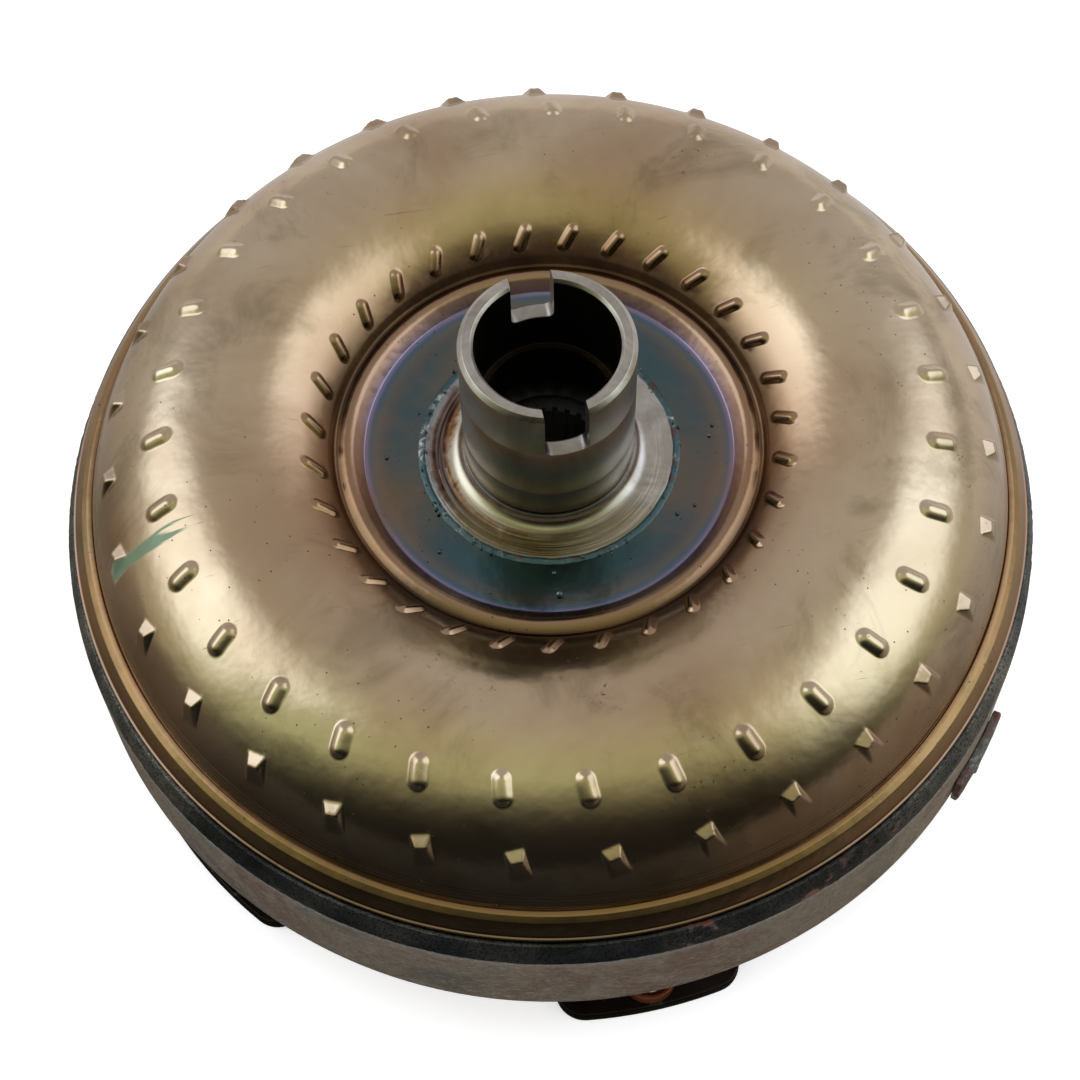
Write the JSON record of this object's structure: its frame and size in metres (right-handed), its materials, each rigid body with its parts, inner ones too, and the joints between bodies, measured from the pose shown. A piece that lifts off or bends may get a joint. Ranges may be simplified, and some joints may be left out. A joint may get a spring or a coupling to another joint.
{
  "type": "torque converter",
  "caption": "Welded torque converter with a domed, dimpled impeller shell, slotted pump hub, turned cover with bolt lugs, and a turbine, stator and lock-up clutch inside.",
  "frame": {"origin": "on the spin axis, in the plane of the drive lugs' bolting faces", "axes": "+Z is the spin axis, from the engine side towards the transmission; the pump hub's two drive slots and one pair of lugs lie on the Y axis"},
  "size_m": [0.2626, 0.2626, 0.1404],
  "materials": {
    "shell_steel": "satin pressed steel with bronze heat tint",
    "hub_steel": "turned and ground steel",
    "weld_steel": "blue-black heat-tinted weld",
    "cover_steel": "turned steel with light rust",
    "lug_steel": "dark oxidised steel",
    "nut_steel": "coppery brown steel",
    "weight_steel": "mill-finish steel, lightly rusted",
    "plate_steel": "oiled pressed steel",
    "blade_steel": "oiled sheet steel",
    "race_steel": "ground bearing steel",
    "cage_steel": "stamped cage",
    "spring_steel": "dark spring steel",
    "stator_alloy": "die-cast, satin",
    "bronze": "bronze bush",
    "lining": "paper-based friction lining",
    "seal": "seal ring"
  },
  "bodies": {
    "housing": {"front_cover": "cover_steel", "pilot_boss": "hub_steel", "pilot_weld": "weld_steel", "drive_lugs": "lug_steel", "lug_nuts": "nut_steel", "lug_welds": "weld_steel", "balance_weight": "weight_steel", "rim_weld": "weld_steel", "impeller_shell": "shell_steel", "impeller_hub": "hub_steel", "hub_weld": "weld_steel", "hub_bushing": "bronze", "impeller_blades": "blade_steel", "impeller_core_ring": "blade_steel", "front_bearing_upper_race": "race_steel"},
    "turbine": {"turbine_shell": "plate_steel", "turbine_blades": "blade_steel", "turbine_core_ring": "blade_steel", "turbine_hub": "hub_steel", "turbine_rivets": "plate_steel", "driven_plate": "plate_steel", "piston_seal": "seal", "thrust_washer": "bronze", "rear_bearing_lower_race": "race_steel"},
    "stator": {"stator_wheel": "stator_alloy", "clutch_outer_race": "race_steel", "clutch_rollers": "race_steel", "clutch_cage": "cage_steel", "clutch_springs": "spring_steel", "clutch_side_plate": "bronze", "clutch_end_cap": "bronze", "stator_snap_ring": "spring_steel", "front_bearing_lower_race": "race_steel", "rear_bearing_upper_race": "race_steel"},
    "freewheel_race": {"clutch_inner_race": "race_steel"},
    "front_bearing": {"front_bearing_cage": "cage_steel", "front_bearing_needles": "race_steel"},
    "rear_bearing": {"rear_bearing_cage": "cage_steel", "rear_bearing_needles": "race_steel"},
    "damper": {"spring_carrier": "plate_steel", "damper_springs": "spring_steel"},
    "piston": {"lockup_piston": "plate_steel", "friction_lining": "lining"}
  },
  "joints": [
    {"name": "turbine_spin", "type": "hinge", "parent": "housing", "child": "turbine", "pos_m": [0, 0, 0.034], "axis": [0, 0, 1], "continuous": true},
    {"name": "stator_spin", "type": "hinge", "parent": "housing", "child": "stator", "pos_m": [0, 0, 0.066], "axis": [0, 0, 1], "continuous": true},
    {"name": "freewheel_spin", "type": "hinge", "parent": "stator", "child": "freewheel_race", "pos_m": [0, 0, 0.066], "axis": [0, 0, 1], "continuous": true},
    {"name": "front_cage_spin", "type": "hinge", "parent": "housing", "child": "front_bearing", "pos_m": [0, 0, 0.084], "axis": [0, 0, 1], "continuous": true},
    {"name": "rear_cage_spin", "type": "hinge", "parent": "turbine", "child": "rear_bearing", "pos_m": [0, 0, 0.047], "axis": [0, 0, 1], "continuous": true},
    {"name": "damper_twist", "type": "hinge", "parent": "turbine", "child": "damper", "pos_m": [0, 0, 0.0275], "axis": [0, 0, 1], "range_deg": [-3.7, 3.7]},
    {"name": "lockup_slide", "type": "slide", "parent": "damper", "child": "piston", "axis": [0, 0, -1], "range_m": [0, 0.0007]}
  ],
  "couplings": [
    {"joint": "front_cage_spin", "follows": "stator_spin", "ratio": 0.5}
  ]
}
